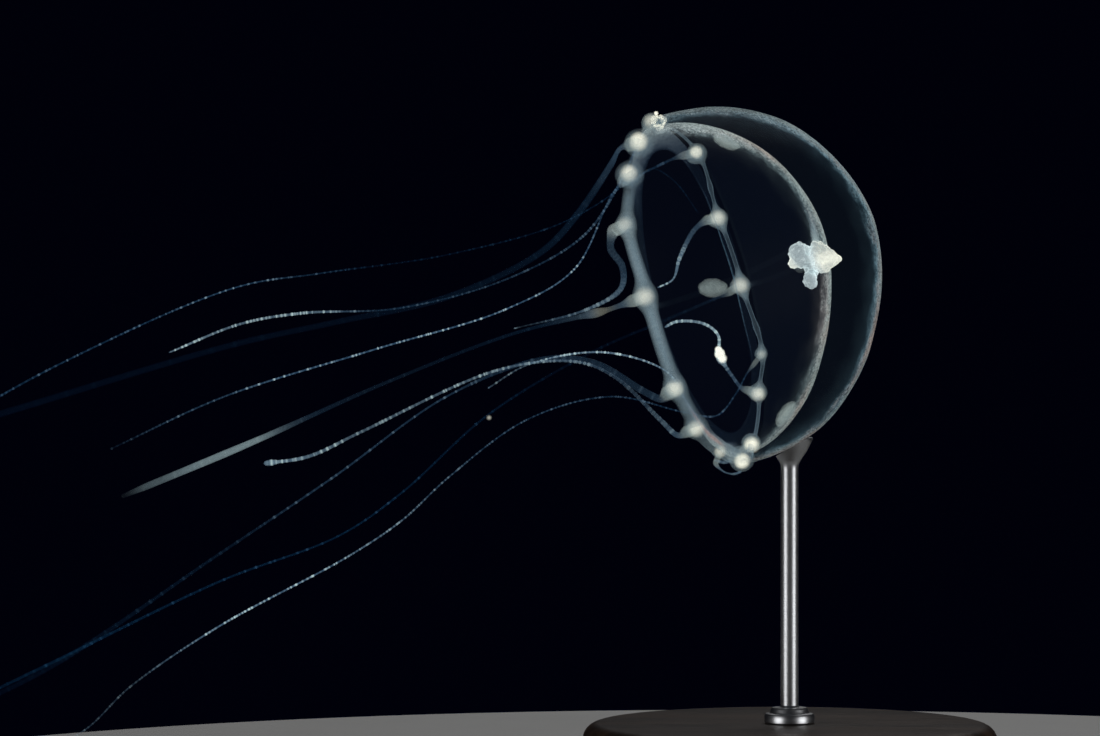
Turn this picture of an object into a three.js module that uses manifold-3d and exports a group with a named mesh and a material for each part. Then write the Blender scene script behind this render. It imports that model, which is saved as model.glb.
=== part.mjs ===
// A small hydromedusa, a bell-shaped jellyfish of the Clytia kind, swimming towards +X with its
// tentacles streaming behind it, held over a plain display stand. Millimetres, +Z up. The origin is
// the centre of the base's underside.
//
// The bell is a thick clear umbrella. Under it lie four radial canals with a gonad on each, a stomach
// with four lips at the crown, a thin velum across the mouth of the bell, and round the rim a ring
// canal with sixteen swellings, the bulbs, each with one hollow tentacle.

import * as THREE from 'three';
import { mergeVertices } from 'three/addons/utils/BufferGeometryUtils.js';
import Module from 'manifold-3d';

const wasm = await Module();
wasm.setup();

// ---------------------------------------------------------------- driving dimensions

// The two domes of the bell, outside and inside. crown and flank are the powers that set how full
// the outline is at the top and at the sides. lean is how far the crown leans sideways for each unit
// of height, and sag is how far the middle of the wall sags the other way.
const outside = { radius: 10, height: 10.87, crown: 2.636, flank: 1.517, lean: 0.077, sag: 0.265 };
const inside = { radius: 9.55, height: 7.815, crown: 2.024, flank: 1.629, lean: 0.146, sag: 0.353 };
const rimWall = 0.5;
const rimLevel = 0.6;              // the rim stands this far above the plane of the bulbs
const domeSides = 40;

const bellLift = THREE.MathUtils.degToRad(14.6);   // the crown points this far above level
const bellTurn = THREE.MathUtils.degToRad(19.2);   // and this far towards the front, -Y
const bellCentre = new THREE.Vector3(-5.2, 1.1, 29);

const ringRadius = 9.72;
const ringLevel = 0.15;
const ringHalfWidth = 0.3;
const ringHalfDepth = 0.27;

const bulbCircle = 9.83;
const bulbRadius = 0.5;
// Round the rim from the top by way of the front: the bulbs are not quite evenly spaced.
const bulbAngles = [0, 24, 43, 64, 88, 120, 138, 161, 179, 202, 228, 244, 268, 294, 321, 352];
const smallBulb = 11;
const smallBulbSize = 0.75;
// Stations of the ring on each side of a bulb: distance from its middle, and how far it swells.
const bulbStations = [[-0.55, 0], [-0.38, 0.6], [0, 1], [0.38, 0.6], [0.55, 0]];

const velumOuter = 9.2;
const velumInner = 8.1;
const velumBottom = -0.1;
const velumTop = 0.4;

const canalRadius = 0.27;
const seam = 0.1;                  // gap between pieces that lie against each other
const canalFoot = 1.1;             // level where a canal leaves the ring
// Each canal's side of the bell, the level where it ends by the stomach, and the place of its gonad.
const canals = [
  { side: 'top', degrees: 351, head: 7.62, gonadAt: 3.1 },
  { side: 'front', degrees: 92, head: 7.5, gonadAt: 2.9 },
  { side: 'bottom', degrees: 189, head: 7.2, gonadAt: 2.3 },
  { side: 'back', degrees: 268, head: 7.5, gonadAt: 4.6 },
];

const gonadHalfLength = 0.85;
const gonadHalfWidth = 0.5;
const gonadHalfDepth = 0.4;

const tentacleRadius = 0.28;
const tubeSides = 6;
const rootStep = 1.1;              // step of a tube near its root, where it bends most
const tailStep = 2.3;              // and of the long trailing stretches
const shortTentacle = 15;          // a tentacle shorter than this is curled all its length
const curlStep = 0.77;             // and takes this step

const baseRadius = 11.5;
const baseHeight = 5;
const baseEdge = 0.7;
const rodRadius = 0.5;
const collarRadius = 1.4;
const collarHeight = 0.9;
const cupRadius = 1.3;
const cupHeight = 1.6;
const cupDrop = 8.9;               // the middle of the cup is this far under the bell's centre
const cupGap = 1.015;              // the cup is cut by the bell's outside, made this much larger

// ---------------------------------------------------------------- materials

function finish(color, roughness, metalness = 0, opacity = 1) {
  return () => new THREE.MeshStandardMaterial({
    color, roughness, metalness, opacity, transparent: opacity < 1,
  });
}
const jelly = finish(0xc9d6dc, 0.2, 0, 0.35);
const membrane = finish(0xb9cad6, 0.3, 0, 0.5);
const tissue = finish(0xe6e8dc, 0.45);
const ripeTissue = finish(0xc8cdc4, 0.5);
const thread = finish(0xb4cfe0, 0.4);
const darkWood = finish(0x1d1a18, 0.45);
const steel = finish(0xb9bcc0, 0.3, 1);

// ---------------------------------------------------------------- helpers

function toSolid(geometry) {
  const bare = geometry.clone();
  bare.deleteAttribute('normal');
  bare.deleteAttribute('uv');
  const merged = mergeVertices(bare, 1e-4);
  return new wasm.Manifold(new wasm.Mesh({
    numProp: 3,
    vertProperties: new Float32Array(merged.attributes.position.array),
    triVerts: new Uint32Array(merged.index.array),
  }));
}

function toGeometry(solid) {
  const cut = solid.getMesh();
  const geometry = new THREE.BufferGeometry();
  geometry.setAttribute('position', new THREE.BufferAttribute(new Float32Array(cut.vertProperties), 3));
  geometry.setIndex(new THREE.BufferAttribute(new Uint32Array(cut.triVerts), 1));
  geometry.computeVertexNormals();
  return geometry;
}

// A body turned about the bell's axis, from an outline of [radius, level] points. The axis is local Z.
function turned(outline, segments) {
  const points = outline.map(([radius, level]) => new THREE.Vector2(radius, level));
  return new THREE.LatheGeometry(points, segments).rotateX(Math.PI / 2);
}

// A tube along a curve, with a section of a few flat sides.
function tube(curve, radius, steps) {
  const section = new THREE.Shape();
  for (let side = 0; side < tubeSides; side += 1) {
    const angle = side * 2 * Math.PI / tubeSides;
    const x = radius * Math.cos(angle);
    const y = radius * Math.sin(angle);
    if (side === 0) section.moveTo(x, y);
    else section.lineTo(x, y);
  }
  section.closePath();
  return new THREE.ExtrudeGeometry(section, { steps, bevelEnabled: false, extrudePath: curve });
}

// The part of a curve between two distances along it.
function stretch(curve, from, to) {
  const total = curve.getLength();
  const count = Math.max(3, Math.round((to - from) / rootStep) + 1);
  const points = [];
  for (let i = 0; i < count; i += 1) {
    const share = (from + (to - from) * i / (count - 1)) / total;
    points.push(curve.getPointAt(Math.min(share, 1)));
  }
  return new THREE.CatmullRomCurve3(points);
}

const medusa = new THREE.Group();
medusa.position.copy(bellCentre);

// The umbrella's own axes: local Z towards the crown, local X up the front view, local Y to the front.
const crown = new THREE.Vector3(
  Math.cos(bellTurn) * Math.cos(bellLift),
  -Math.sin(bellTurn),
  Math.cos(bellTurn) * Math.sin(bellLift),
);
const topSide = new THREE.Vector3(-Math.sin(bellLift), 0, Math.cos(bellLift));
const frontSide = new THREE.Vector3().crossVectors(crown, topSide);
const umbrella = new THREE.Group();
umbrella.quaternion.setFromRotationMatrix(new THREE.Matrix4().makeBasis(topSide, frontSide, crown));
medusa.add(umbrella);

function addTo(group, name, geometry, material) {
  const mesh = new THREE.Mesh(geometry, material());
  mesh.name = name;
  group.add(mesh);
  return mesh;
}

// ---------------------------------------------------------------- bell

function domeRadius({ radius, height, crown: crownPower, flank }, level) {
  return radius * (1 - (level / height) ** crownPower) ** (1 / flank);
}

function domeShift({ height, lean, sag }, level) {
  return lean * level - sag * Math.sin(Math.PI * level / height);
}

function outerRadius(level) {
  return domeRadius(outside, level);
}

function cavityRadius(level) {
  return Math.min(domeRadius(inside, level), outerRadius(level) - rimWall);
}

// A closed dome from a level up to its crown. Its rows are closer together at the crown, and each is
// shifted sideways, as the bell leans in the middle of a stroke.
function dome(shape, radiusAt, bottom, rows) {
  const start = Math.asin(bottom / shape.height);
  const outline = [[0, shape.height]];
  for (let row = 1; row < rows; row += 1) {
    const level = shape.height * Math.sin(Math.PI / 2 + (start - Math.PI / 2) * row / rows);
    outline.push([radiusAt(level), level]);
  }
  outline.push([radiusAt(bottom), bottom], [0, bottom]);
  const geometry = turned(outline.reverse(), domeSides);
  const { position } = geometry.attributes;
  for (let i = 0; i < position.count; i += 1) {
    position.setX(i, position.getX(i) + domeShift(shape, position.getZ(i)));
  }
  return geometry;
}

const bellSolid = toSolid(dome(outside, outerRadius, rimLevel, 11));
const cavitySolid = toSolid(dome(inside, cavityRadius, 0, 10));
addTo(umbrella, 'bell', toGeometry(bellSolid.subtract(cavitySolid)), jelly);

// ---------------------------------------------------------------- velum, ring and bulbs

const velumSection = [
  [velumInner, velumBottom], [velumOuter, velumBottom], [velumOuter, velumTop], [velumInner, velumTop],
];
addTo(umbrella, 'velum', turned([...velumSection, velumSection[0]], 48), membrane);

// The ring canal is one closed loop that swells into the bulbs. Its stations are gathered round them,
// with one more halfway to the next bulb. swell is 1 on a bulb and 0 on the plain ring.
const stations = [];
bulbAngles.forEach((degrees, index) => {
  const size = index === smallBulb ? smallBulbSize : 1;
  for (const [offset, swell] of bulbStations) {
    const turn = size * offset / bulbCircle;
    stations.push({ angle: THREE.MathUtils.degToRad(degrees) + turn, swell, size });
  }
  const next = bulbAngles[index + 1] ?? bulbAngles[0] + 360;
  stations.push({ angle: THREE.MathUtils.degToRad((degrees + next) / 2), swell: 0, size: 1 });
});
const ringSides = 6;
const margin = new THREE.TorusGeometry(ringRadius, ringHalfDepth, ringSides, stations.length);
for (let i = 0; i < margin.attributes.position.count; i += 1) {
  const { angle, swell, size } = stations[i % (stations.length + 1) % stations.length];
  const side = Math.floor(i / (stations.length + 1)) * 2 * Math.PI / ringSides;
  const halfDepth = THREE.MathUtils.lerp(ringHalfDepth, bulbRadius * size, swell);
  const halfWidth = THREE.MathUtils.lerp(ringHalfWidth, bulbRadius * size, swell);
  const radius = THREE.MathUtils.lerp(ringRadius, bulbCircle, swell) + halfDepth * Math.cos(side);
  const level = THREE.MathUtils.lerp(ringLevel, 0, swell) + halfWidth * Math.sin(side);
  margin.attributes.position.setXYZ(i, radius * Math.cos(angle), radius * Math.sin(angle), level);
}
addTo(umbrella, 'margin_ring_with_bulbs', margin, tissue);

const bulbCentres = bulbAngles.map((degrees) => {
  const angle = THREE.MathUtils.degToRad(degrees);
  return new THREE.Vector3(bulbCircle * Math.cos(angle), bulbCircle * Math.sin(angle), 0);
});

// ---------------------------------------------------------------- canals and gonads

// A point under the cavity's wall: a level, a side of the bell and a depth below the wall.
function underWall(level, angle, depth) {
  const small = 0.01;
  const rise = 2 * small;
  const run = cavityRadius(level + small) - cavityRadius(level - small);
  const length = Math.hypot(rise, run);
  const radius = cavityRadius(level) - depth * rise / length;
  const height = level + depth * run / length;
  return new THREE.Vector3(
    radius * Math.cos(angle) + domeShift(inside, height),
    radius * Math.sin(angle),
    height,
  );
}

function canalRoute(angle, head, depth) {
  const points = [];
  const rows = 10;
  for (let row = 0; row <= rows; row += 1) {
    points.push(underWall(canalFoot + (head - canalFoot) * row / rows, angle, depth));
  }
  return new THREE.CatmullRomCurve3(points);
}

for (const { side, degrees, head, gonadAt } of canals) {
  const angle = THREE.MathUtils.degToRad(degrees);
  const route = canalRoute(angle, head, canalRadius + seam);
  const outer = stretch(route, 0, gonadAt - gonadHalfLength - seam);
  const inner = stretch(route, gonadAt + gonadHalfLength + seam, route.getLength());
  addTo(umbrella, `radial_canal_${side}_outer`, tube(outer, canalRadius, 3), tissue);
  addTo(umbrella, `radial_canal_${side}_inner`, tube(inner, canalRadius, 6), tissue);

  const bed = canalRoute(angle, head, gonadHalfDepth + seam);
  const share = gonadAt / route.getLength();
  const along = bed.getTangentAt(share);
  const across = new THREE.Vector3(-Math.sin(angle), Math.cos(angle), 0);
  const inward = new THREE.Vector3().crossVectors(along, across);
  const gonad = new THREE.SphereGeometry(1, 10, 6)
    .scale(gonadHalfWidth, gonadHalfLength, gonadHalfDepth)
    .applyMatrix4(new THREE.Matrix4().makeBasis(across, along, inward.negate()));
  const middle = bed.getPointAt(share);
  addTo(umbrella, `gonad_${side}`, gonad.translate(middle.x, middle.y, middle.z), ripeTissue);
}

// ---------------------------------------------------------------- stomach and lips

// The stomach hangs from the crown of the cavity, wide where the canals meet and narrow at the throat.
const stomachOutline = [
  [0, 6.95], [0.62, 6.95], [0.7, 7.3], [1.0, 7.6], [1.35, 8.4], [0, 8.4],
];
const cavityLining = cavitySolid.scale([1, 1, (inside.height - seam * 1.5) / inside.height]);
const stomach = toSolid(turned(stomachOutline, 16)).intersect(cavityLining);
addTo(umbrella, 'stomach', toGeometry(stomach), tissue);

// Four lips of uneven size spread round the mouth, on a short throat.
const lips = [
  { at: [0.35, 0.25, 6.3], size: [0.62, 0.6, 0.55] },
  { at: [-0.85, 0.15, 6.5], size: [0.6, 0.36, 0.36] },
  { at: [0.25, -0.75, 6.35], size: [0.45, 0.5, 0.42] },
  { at: [-0.35, -0.5, 6.4], size: [0.4, 0.42, 0.4] },
];
let mouth = toSolid(turned([[0, 6.2], [0.5, 6.2], [0.5, 6.85], [0, 6.85]], 12));
for (const { at, size } of lips) {
  const lobe = new THREE.SphereGeometry(1, 8, 6).scale(...size).translate(...at);
  mouth = mouth.add(toSolid(lobe));
}
addTo(umbrella, 'mouth_lips', toGeometry(mouth), tissue);

// ---------------------------------------------------------------- tentacles

// Each tentacle leaves its bulb and passes through a few chosen points: x back along the animal, y in
// depth and z in height, all from the bell's centre. It is parted into lengths at even distances.
const tentacles = [
  { bulb: 0, lengths: 2, way: [
    [-3.2, 0.9, 8.2], [-4.2, 1, 6.1], [-6.2, 1.5, 3.2], [-10.4, 1.5, 0.8], [-16.5, 0.6, -0.9],
    [-22, 0, -1.2], [-25.4, 0, -1.8], [-29.4, 0, -3.4]] },
  { bulb: 1, lengths: 2, way: [
    [-4.3, -4.9, 7.7], [-4.8, -5.5, 6.8], [-6.6, -6.5, 4.1], [-8.6, -7, 2], [-13.6, -7, -0.4],
    [-19.8, -7, -1.8], [-25.3, -6.5, -3], [-36.8, -6, -6.4], [-43, -6, -8.3]] },
  { bulb: 2, lengths: 1, way: [
    [-4.3, -5.3, 5.7], [-3.3, -2.5, 6.2], [-2.4, 0.3, 6.9], [-1.7, 1.5, 6.7], [-0.8, 2.5, 6],
    [0.3, 3.2, 4.5]] },
  { bulb: 3, lengths: 1, way: [
    [-4.7, -8.6, 3.1], [-4.85, -8.1, 2.2], [-4.2, -7.2, 1.2], [-4.3, -6, 0], [-6.2, -4.7, -1.1],
    [-10.1, -4, -2.1]] },
  { bulb: 4, lengths: 2, way: [
    [-4.3, -9.6, -0.9], [-5.2, -9.7, -1.2], [-10, -9.4, -2.4], [-16.8, -8.8, -5], [-24, -8.4, -8.2],
    [-31.2, -8, -11.2]] },
  { bulb: 5, lengths: 3, way: [
    [-2.2, -9, -5.9], [-3.1, -9, -5.5], [-5.7, -8.5, -4], [-8.6, -7.7, -3.8], [-13.7, -6.5, -5.8],
    [-19.9, -5.5, -10.2], [-26.3, -4.5, -14.5], [-35.4, -4, -20.6], [-42, -4, -23.8]] },
  { bulb: 6, lengths: 2, way: [
    [-1.2, -7, -7.9], [-2.1, -6.6, -7.1], [-4.5, -4.4, -4.8], [-6.8, -2.5, -3.9], [-11.1, -1, -4.4],
    [-18.6, 0, -7.8], [-21.6, 0, -9.2], [-24.1, 0, -9.6]] },
  { bulb: 7, lengths: 1, way: [
    [0.75, -3.35, -9.6], [1.2, -3, -10], [1.85, -2.3, -10.15], [2.45, -1.6, -9.95]] },
  { bulb: 8, lengths: 1, way: [
    [1.5, -0.5, -8.9], [-0.7, -1.8, -5.9], [-1.6, -2, -4.5], [-5, -1.5, -3.4], [-9.4, 0.5, -4.1],
    [-11.6, 1, -5.4]] },
  { bulb: 9, lengths: 1, way: [[2.5, 3.8, -9.25], [1.9, 3.7, -9.6], [1.2, 3.4, -9.5]] },
  { bulb: 10, lengths: 1, way: [
    [2.9, 6.3, -5.4], [2.4, 6, -4.8], [1.6, 5.4, -3.5], [1.5, 5, -2.4], [0.7, 4.6, -1.75],
    [-0.9, 4, -1.62], [-1.6, 3.8, -1.95]] },
  { bulb: 11, lengths: 3, way: [
    [3.3, 8.4, -4.6], [2.6, 7.6, -5.8], [1.5, 7, -7], [-0.4, 6.3, -6.8], [-4.6, 5.6, -5.9],
    [-9.4, 5, -7.2], [-13.9, 5, -10.5], [-16.55, 5, -12.95], [-19.6, 5, -15], [-27, 4.5, -19],
    [-32, 4.2, -22.4], [-34.8, 4, -25], [-39.5, 4, -26.8]] },
  { bulb: 12, lengths: 3, way: [
    [2.2, 9.3, 0.1], [-1.7, 7.5, -1.6], [-5.6, 6.5, -3.3], [-11.6, 5.5, -6.9], [-16.6, 5, -11.4],
    [-20.1, 4.5, -13.8], [-26.9, 4, -16.4], [-36.4, 4, -21], [-42, 4, -23.7]] },
  { bulb: 13, lengths: 1, way: [
    [1, 8, 4.3], [0.3, 7.5, 3.8], [-0.7, 5.5, 2], [-1.1, 4.6, 0.8], [-2, 4, 0.3]] },
  { bulb: 14, lengths: 2, way: [
    [-0.9, 6, 7.8], [-2.9, 5, 6.8], [-4.3, 4.8, 6], [-6.7, 4.5, 1.4], [-10.6, 4.5, -0.9],
    [-18.1, 4.5, -3.2], [-26.7, 4.5, -5.9], [-33.2, 4.5, -8.9]] },
  { bulb: 15, lengths: 2, way: [
    [-3, 2.6, 8.9], [-3.5, 3.2, 6.7], [-6.9, 3, 4.2], [-13.7, 3, 2.2], [-21.1, 3, 1.1],
    [-25.9, 3, 0.3], [-35.8, 3, -4], [-43, 3, -8]] },
];

umbrella.updateMatrix();
for (const { bulb, lengths, way } of tentacles) {
  const centre = bulbCentres[bulb].clone().applyMatrix4(umbrella.matrix);
  const points = way.map((point) => new THREE.Vector3(...point));
  const heading = points[0].clone().sub(centre).normalize();
  const root = centre.clone().addScaledVector(heading, bulbRadius + seam);
  const route = new THREE.CatmullRomCurve3([root, ...points]);
  const total = route.getLength();
  const number = String(bulb + 1).padStart(2, '0');
  for (let part = 0; part < lengths; part += 1) {
    const from = total * part / lengths + (part > 0 ? seam / 2 : 0);
    const to = total * (part + 1) / lengths - (part < lengths - 1 ? seam / 2 : 0);
    const longStep = part === 0 ? rootStep : tailStep;
    const step = total < shortTentacle ? curlStep : longStep;
    const length = tube(stretch(route, from, to), tentacleRadius, Math.round((to - from) / step));
    addTo(medusa, `tentacle_${number}_${'abc'[part]}`, length, thread);
  }
}

// ---------------------------------------------------------------- stand

const stand = new THREE.Group();

// A turned disc of dark wood with a chamfered edge.
const baseOutline = [
  [0, 0], [baseRadius, 0], [baseRadius, baseHeight - baseEdge], [baseRadius - baseEdge, baseHeight],
  [0, baseHeight],
];
addTo(stand, 'stand_base', turned(baseOutline, 48), darkWood);

// A steel rod stands in a collar and opens into a small cup that the underside of the bell rests in.
const cupBottom = bellCentre.z - cupDrop - cupHeight / 2;
const cupTop = cupBottom + cupHeight;
const rodOutline = [
  [0, baseHeight], [collarRadius, baseHeight], [collarRadius, baseHeight + collarHeight * 0.6],
  [collarRadius * 0.75, baseHeight + collarHeight], [rodRadius, baseHeight + collarHeight],
  [rodRadius, cupBottom], [cupRadius, cupTop], [0, cupTop],
];
medusa.updateMatrix();
const bellInPlace = toSolid(
  dome(outside, outerRadius, rimLevel, 11)
    .scale(cupGap, cupGap, cupGap)
    .applyMatrix4(umbrella.matrix)
    .applyMatrix4(medusa.matrix),
);
const rod = toSolid(turned(rodOutline, 16)).subtract(bellInPlace);
addTo(stand, 'stand_rod', toGeometry(rod), steel);

// ---------------------------------------------------------------- the whole

const model = new THREE.Group();
model.add(medusa, stand);
export default model;
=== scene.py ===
import math
import random

import bmesh
import bpy
from mathutils import Matrix, Vector


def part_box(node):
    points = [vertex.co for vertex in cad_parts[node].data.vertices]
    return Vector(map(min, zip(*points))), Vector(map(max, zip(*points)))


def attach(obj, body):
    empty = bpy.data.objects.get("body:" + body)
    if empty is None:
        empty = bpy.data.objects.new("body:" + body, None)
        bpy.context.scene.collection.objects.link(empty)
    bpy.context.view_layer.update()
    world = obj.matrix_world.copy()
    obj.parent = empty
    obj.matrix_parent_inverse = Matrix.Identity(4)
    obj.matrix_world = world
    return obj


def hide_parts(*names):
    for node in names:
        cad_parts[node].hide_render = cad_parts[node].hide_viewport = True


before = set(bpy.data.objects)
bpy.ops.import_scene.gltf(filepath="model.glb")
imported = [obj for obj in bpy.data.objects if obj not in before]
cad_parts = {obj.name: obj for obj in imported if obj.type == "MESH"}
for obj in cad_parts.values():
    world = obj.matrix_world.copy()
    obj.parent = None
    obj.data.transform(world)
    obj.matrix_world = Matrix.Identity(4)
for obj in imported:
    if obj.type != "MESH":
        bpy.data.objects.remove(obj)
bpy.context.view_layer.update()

# ---------------------------------------------------------------- the bell's place and the view
# The jellyfish swims to the right with its crown a little raised and turned a little to the viewer.
# All its flesh is modelled in millimetres round the middle of the rim, and brought into place at the
# end. A long lens looks level along +Y from 220 mm away.

MM = 0.001
BELL_LIFT = math.radians(14.6)
BELL_TURN = math.radians(19.2)
VELUM_LEVEL = 0.15
CAMERA_PLACE = Vector((-8.11, -220, -4.26))
CAMERA_LENS = 128.9

crown = Vector((
    math.cos(BELL_TURN) * math.cos(BELL_LIFT),
    -math.sin(BELL_TURN),
    math.cos(BELL_TURN) * math.sin(BELL_LIFT),
))
top_side = Vector((-math.sin(BELL_LIFT), 0, math.cos(BELL_LIFT)))
front_side = crown.cross(top_side)

velum_low, velum_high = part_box("velum")
bell_centre = (Vector(velum_low) + Vector(velum_high)) / 2 - crown * VELUM_LEVEL * MM
to_place = Matrix.Translation(bell_centre) @ Matrix.Scale(MM, 4)
umbrella_turn = Matrix((top_side, front_side, crown)).transposed().to_4x4()

bpy.ops.object.camera_add(location=to_place @ CAMERA_PLACE, rotation=(math.pi / 2, 0, 0))
camera = bpy.context.object
camera.name = "camera"
camera.data.lens = CAMERA_LENS
camera.data.clip_start = 0.01
camera.data.clip_end = 10
bpy.context.scene.camera = camera

# ---------------------------------------------------------------- the stand's wooden base
# A disc turned from dark stained wood, with a rounded upper edge and a fine groove under it. The
# grain runs along the length of the animal, and a thin varnish gives it a soft shine.

BASE_SIDES = 128
BASE_GROOVE = 0.0008
BASE_ROUND = 0.0009


class Shade:
    """A socket in one material's nodes. Sums on it add Math nodes, and node() adds any other node."""

    def __init__(self, tree, socket=None):
        self.tree = tree
        self.socket = socket

    def node(self, kind, settings=(), sockets=(), out=0):
        made = self.tree.nodes.new("ShaderNode" + kind)
        for name, value in dict(settings).items():
            setattr(made, name, value)
        for key, value in dict(sockets).items():
            if isinstance(value, Shade):
                self.tree.links.new(value.socket, made.inputs[key])
            else:
                made.inputs[key].default_value = value
        return Shade(self.tree, made.outputs[out] if made.outputs else None)

    def place(self):
        """Where a point is, in the piece's own measure."""
        return self.node("TexCoord", out="Object")

    def facing(self):
        """0 where the surface faces the eye, and 1 where it is seen edge on."""
        return self.node("LayerWeight", {}, {"Blend": 0.5}, out="Facing")

    def marked(self, name):
        """The value of this name that is written on the mesh's points."""
        return self.node("Attribute", {"attribute_name": name}, out="Fac")

    def sum(self, operation, *values):
        return self.node("Math", {"operation": operation}, enumerate(values))

    def __add__(self, other):
        return self.sum("ADD", self, other)

    def __sub__(self, other):
        return self.sum("SUBTRACT", self, other)

    def __rsub__(self, other):
        return self.sum("SUBTRACT", other, self)

    def __mul__(self, other):
        return self.sum("MULTIPLY", self, other)

    def __pow__(self, other):
        return self.sum("POWER", self, other)

    __radd__ = __add__
    __rmul__ = __mul__

    def step(self, low, high):
        """Rises smoothly from 0 at low to 1 at high."""
        limits = {"Value": self, "From Min": low, "From Max": high}
        return self.node("MapRange", {"interpolation_type": "SMOOTHSTEP"}, limits)

    def tint(self, low, high):
        """A colour that goes from low to high as this value goes from 0 to 1."""
        colours = {0: self, 6: low, 7: high}
        return self.node("Mix", {"data_type": "RGBA"}, colours, out=2)

    def noise(self, place, scale, detail=2.0, rough=0.5):
        sizes = {"Vector": place, "Scale": scale, "Detail": detail, "Roughness": rough}
        return self.node("TexNoise", {}, sizes)

    def stretched(self, place, scale):
        return self.node("Mapping", {}, {"Vector": place, "Scale": scale})

    def bump(self, height, strength, distance):
        values = {"Height": height, "Strength": strength, "Distance": distance}
        return self.node("Bump", {}, values)

    def surface(self, **sockets):
        """Ends the material in one principled shader. Spaces in socket names are underscores here."""
        named = {name.replace("_", " "): value for name, value in sockets.items()}
        shader = self.node("BsdfPrincipled", {}, named)
        self.node("OutputMaterial", {}, {"Surface": shader})


def new_material(name):
    material = bpy.data.materials.new(name)
    material.use_nodes = True
    material.node_tree.nodes.clear()
    return material, Shade(material.node_tree)


def deselect():
    if bpy.context.mode != "OBJECT":
        bpy.ops.object.mode_set(mode="OBJECT")
    bpy.ops.object.select_all(action="DESELECT")


def pick(piece):
    deselect()
    piece.select_set(True)
    bpy.context.view_layer.objects.active = piece


def turned(name, rows, sides):
    """A body turned about the Z axis, grown row by row from its first pole.

    A row is its radius, its level and its shift along X. A last row of no radius is a pole too."""
    deselect()
    radius, level, shift = rows[1]
    bpy.ops.mesh.primitive_circle_add(
        vertices=sides, radius=radius, fill_type="TRIFAN", location=(shift, 0, level)
    )
    piece = bpy.context.object
    piece.name = name
    piece.data.name = name
    bpy.ops.object.transform_apply(location=True)
    pole = min(piece.data.vertices, key=lambda v: (v.co.xy - Vector((shift, 0))).length)
    pole.co = (rows[0][2], 0, rows[0][1])
    bpy.ops.object.mode_set(mode="EDIT")
    bpy.ops.mesh.select_mode(type="EDGE")
    bpy.ops.mesh.select_all(action="DESELECT")
    edit = bmesh.from_edit_mesh(piece.data)
    for edge in edit.edges:
        edge.select_set(edge.is_boundary)
    bmesh.update_edit_mesh(piece.data)
    for radius_next, level_next, shift_next in rows[2:]:
        move = (shift_next - shift, 0, level_next - level)
        bpy.ops.mesh.extrude_region_move(TRANSFORM_OT_translate={"value": move})
        if radius_next == 0:
            bpy.ops.mesh.merge(type="CENTER")
            break
        share = radius_next / radius
        bpy.ops.transform.resize(
            value=(share, share, 1), center_override=(shift_next, 0, level_next)
        )
        radius, level, shift = radius_next, level_next, shift_next
    bpy.ops.mesh.select_all(action="SELECT")
    bpy.ops.mesh.normals_make_consistent(inside=False)
    bpy.ops.object.mode_set(mode="OBJECT")
    return piece


def apply_modifiers(piece):
    pick(piece)
    for modifier in list(piece.modifiers):
        bpy.ops.object.modifier_apply(modifier=modifier.name)


def smooth(piece, degrees=None):
    """Smooth all over, or with edges left sharp where faces meet at more than these degrees."""
    pick(piece)
    if degrees is None:
        bpy.ops.object.shade_smooth()
    else:
        bpy.ops.object.shade_smooth_by_angle(angle=math.radians(degrees))


base_low, base_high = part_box("stand_base")
base_radius = (base_high[0] - base_low[0]) / 2
base_top = base_high[2]
edge_rows = []
for quarter in range(9):
    turn = quarter * math.pi / 16
    edge_rows.append((
        base_radius - BASE_ROUND + BASE_ROUND * math.sin(turn),
        base_top - BASE_ROUND + BASE_ROUND * math.cos(turn), 0,
    ))
groove_level = base_top - 2.2 * BASE_ROUND
base_rows = [
    (0, base_top, 0), (base_radius * 0.5, base_top, 0), *edge_rows,
    (base_radius, groove_level + BASE_GROOVE / 2, 0),
    (base_radius - BASE_GROOVE / 3, groove_level, 0),
    (base_radius, groove_level - BASE_GROOVE / 2, 0),
    (base_radius, BASE_GROOVE / 2, 0), (base_radius - BASE_GROOVE / 2, 0, 0), (0, 0, 0),
]
base = turned("turned_base", base_rows, BASE_SIDES)
smooth(base, 40)

stained_wood, shade = new_material("stained_wood")
place = shade.place()
grain_place = shade.stretched(place, (0.12, 1, 0.5))
broad = shade.noise(grain_place, 350, 3)
fine = shade.noise(grain_place, 2600, 4, 0.65)
wood_mark = (broad * 0.6 + fine * 0.4).step(0.36, 0.62)
shade.surface(
    Base_Color=wood_mark.tint((0.010, 0.006, 0.004, 1), (0.045, 0.026, 0.016, 1)),
    Roughness=fine * 0.25 + 0.28,
    Normal=shade.bump(fine, 0.35, 0.00006),
    Specular_IOR_Level=0.3,
)
base.data.materials.append(stained_wood)
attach(base, "root")
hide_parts("stand_base")

# ---------------------------------------------------------------- the bell
# A thick dome of clear jelly, as colourless as the water round it: only its skin catches the light,
# where it turns edge on, with a painted glow and a band painted brighter at the top. The outer skin
# and the lining of the hollow meet in a rounded rim.

BELL_RADIUS = 10
BELL_HEIGHT = 10.87
BELL_CROWN = 2.636
BELL_FLANK = 1.517
BELL_LEAN = 0.077
BELL_SAG = 0.265
HOLLOW_RADIUS = 9.55
HOLLOW_HEIGHT = 7.815
HOLLOW_CROWN = 2.024
HOLLOW_FLANK = 1.629
HOLLOW_LEAN = 0.146
HOLLOW_SAG = 0.353
RIM_WALL = 0.5
RIM_LEVEL = 0.6
RIM_GAP = 0.08
BELL_SIDES = 144
BELL_ROWS = 40
SKIN_WAVE = 0.1
SKIN_WAVE_SIZE = 3.2
BLUSH = (0.54, 0.4, 0.38, 1)
TOP_GAIN = 0.2
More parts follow.
